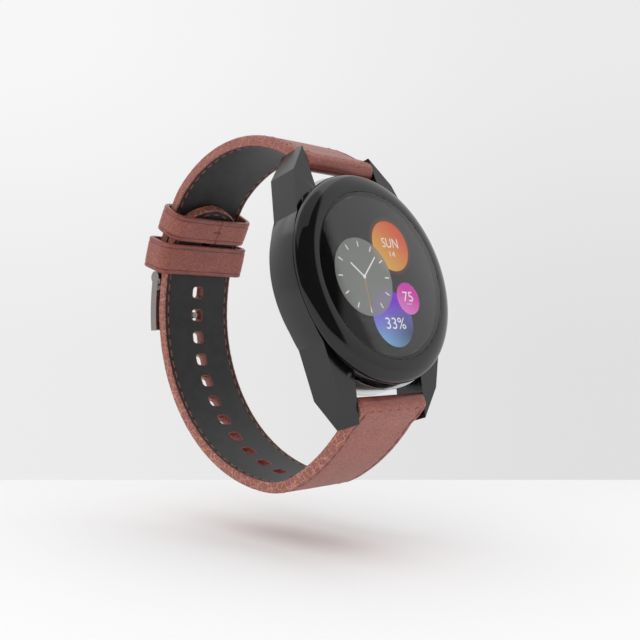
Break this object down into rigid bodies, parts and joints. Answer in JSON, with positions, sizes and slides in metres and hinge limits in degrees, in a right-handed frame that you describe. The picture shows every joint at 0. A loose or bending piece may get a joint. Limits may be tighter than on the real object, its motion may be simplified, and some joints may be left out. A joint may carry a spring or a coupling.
{
  "type": "smartwatch",
  "caption": "Round smartwatch with faceted lugs, a domed black bezel and a buckled brown leather strap closed in a loop.",
  "frame": {"origin": "centre of the flat screen face", "axes": "+X from 9 to 3 o'clock, +Y from the screen to the back of the case, +Z from 6 to 12 o'clock"},
  "size_m": [0.0446, 0.0658, 0.0772],
  "materials": {
    "case": "semi-gloss black coating",
    "bezel": "gloss black",
    "crystal": "polished",
    "screen": "gloss",
    "bright_metal": "satin",
    "dense_metal": "machined",
    "board": "solder mask",
    "ribbon": "satin",
    "cell": "foil wrap",
    "module": "matt",
    "seal": "matt",
    "back_steel": "polished",
    "window": "polished",
    "lamps": "clear",
    "copper": "enamelled wire",
    "strap_leather": "fine grain",
    "strap_lining": "smooth",
    "thread": "waxed thread",
    "buckle_steel": "satin"
  },
  "bodies": {
    "head": {"mid_case": "case", "bezel_ring": "bezel", "cover_glass": "crystal", "display_panel": "screen", "display_frame": "bright_metal", "bezel_gasket": "seal", "main_board": "board", "board_shields": "bright_metal", "display_flex": "ribbon", "battery": "cell", "speaker": "module", "microphone": "module", "motor_can": "bright_metal", "back_shell": "back_steel", "back_seal": "seal", "back_screws": "bright_metal", "sensor_window": "window", "sensor_board": "board", "sensor_lamps": "lamps", "charging_coil": "copper", "button_seal": "seal", "button_switch": "module", "upper_bar_tube": "bright_metal", "upper_bar_spring": "bright_metal", "lower_bar_tube": "bright_metal", "lower_bar_spring": "bright_metal"},
    "upper_strap": {"upper_leather": "strap_leather", "upper_lining": "strap_lining", "upper_stitching": "thread", "fixed_keeper": "strap_leather", "buckle_bar": "buckle_steel"},
    "lower_strap": {"lower_leather": "strap_leather", "lower_lining": "strap_lining", "lower_stitching": "thread"},
    "keeper": {"free_keeper": "strap_leather"},
    "buckle": {"buckle_frame": "buckle_steel"},
    "tongue": {"buckle_tongue": "buckle_steel"},
    "button": {"side_button": "case"},
    "motor_rotor": {"motor_weight": "dense_metal"},
    "upper_left_pin": {"upper_pin_left": "bright_metal"},
    "upper_right_pin": {"upper_pin_right": "bright_metal"},
    "lower_left_pin": {"lower_pin_left": "bright_metal"},
    "lower_right_pin": {"lower_pin_right": "bright_metal"}
  },
  "joints": [
    {"name": "upper_strap_turn", "type": "hinge", "parent": "head", "child": "upper_strap", "pos_m": [0, 0.0065, 0.0258], "axis": [1, 0, 0], "range_deg": [-0.2, 0.2]},
    {"name": "lower_strap_turn", "type": "hinge", "parent": "head", "child": "lower_strap", "pos_m": [0, 0.0065, -0.0258], "axis": [1, 0, 0], "range_deg": [-0.2, 0.2]},
    {"name": "keeper_slide", "type": "hinge", "parent": "upper_strap", "child": "keeper", "pos_m": [0, 0.02031, -0.0014], "axis": [1, 0, 0], "range_deg": [-0.8, 2.5]},
    {"name": "buckle_swing", "type": "hinge", "parent": "upper_strap", "child": "buckle", "pos_m": [0, 0.06024, 0.01859], "axis": [1, 0, 0], "range_deg": [0, 25]},
    {"name": "tongue_lift", "type": "hinge", "parent": "buckle", "child": "tongue", "pos_m": [0, 0.06024, 0.01859], "axis": [1, 0, 0], "range_deg": [0, 60]},
    {"name": "button_press", "type": "slide", "parent": "head", "child": "button", "axis": [-1, 0, 0], "range_m": [0, 0.0004], "stiffness_N_per_m": 800, "springref_m": -0.0004},
    {"name": "motor_spin", "type": "hinge", "parent": "head", "child": "motor_rotor", "pos_m": [0.0095, 0.00685, 0.01064], "axis": [1, 0, 0], "continuous": true},
    {"name": "upper_left_pin_slide", "type": "slide", "parent": "head", "child": "upper_left_pin", "axis": [1, 0, 0], "range_m": [0, 0.0012], "stiffness_N_per_m": 300, "springref_m": -0.001},
    {"name": "upper_right_pin_slide", "type": "slide", "parent": "head", "child": "upper_right_pin", "axis": [-1, 0, 0], "range_m": [0, 0.0012], "stiffness_N_per_m": 300, "springref_m": -0.001},
    {"name": "lower_left_pin_slide", "type": "slide", "parent": "head", "child": "lower_left_pin", "axis": [1, 0, 0], "range_m": [0, 0.0012], "stiffness_N_per_m": 300, "springref_m": -0.001},
    {"name": "lower_right_pin_slide", "type": "slide", "parent": "head", "child": "lower_right_pin", "axis": [-1, 0, 0], "range_m": [0, 0.0012], "stiffness_N_per_m": 300, "springref_m": -0.001}
  ]
}
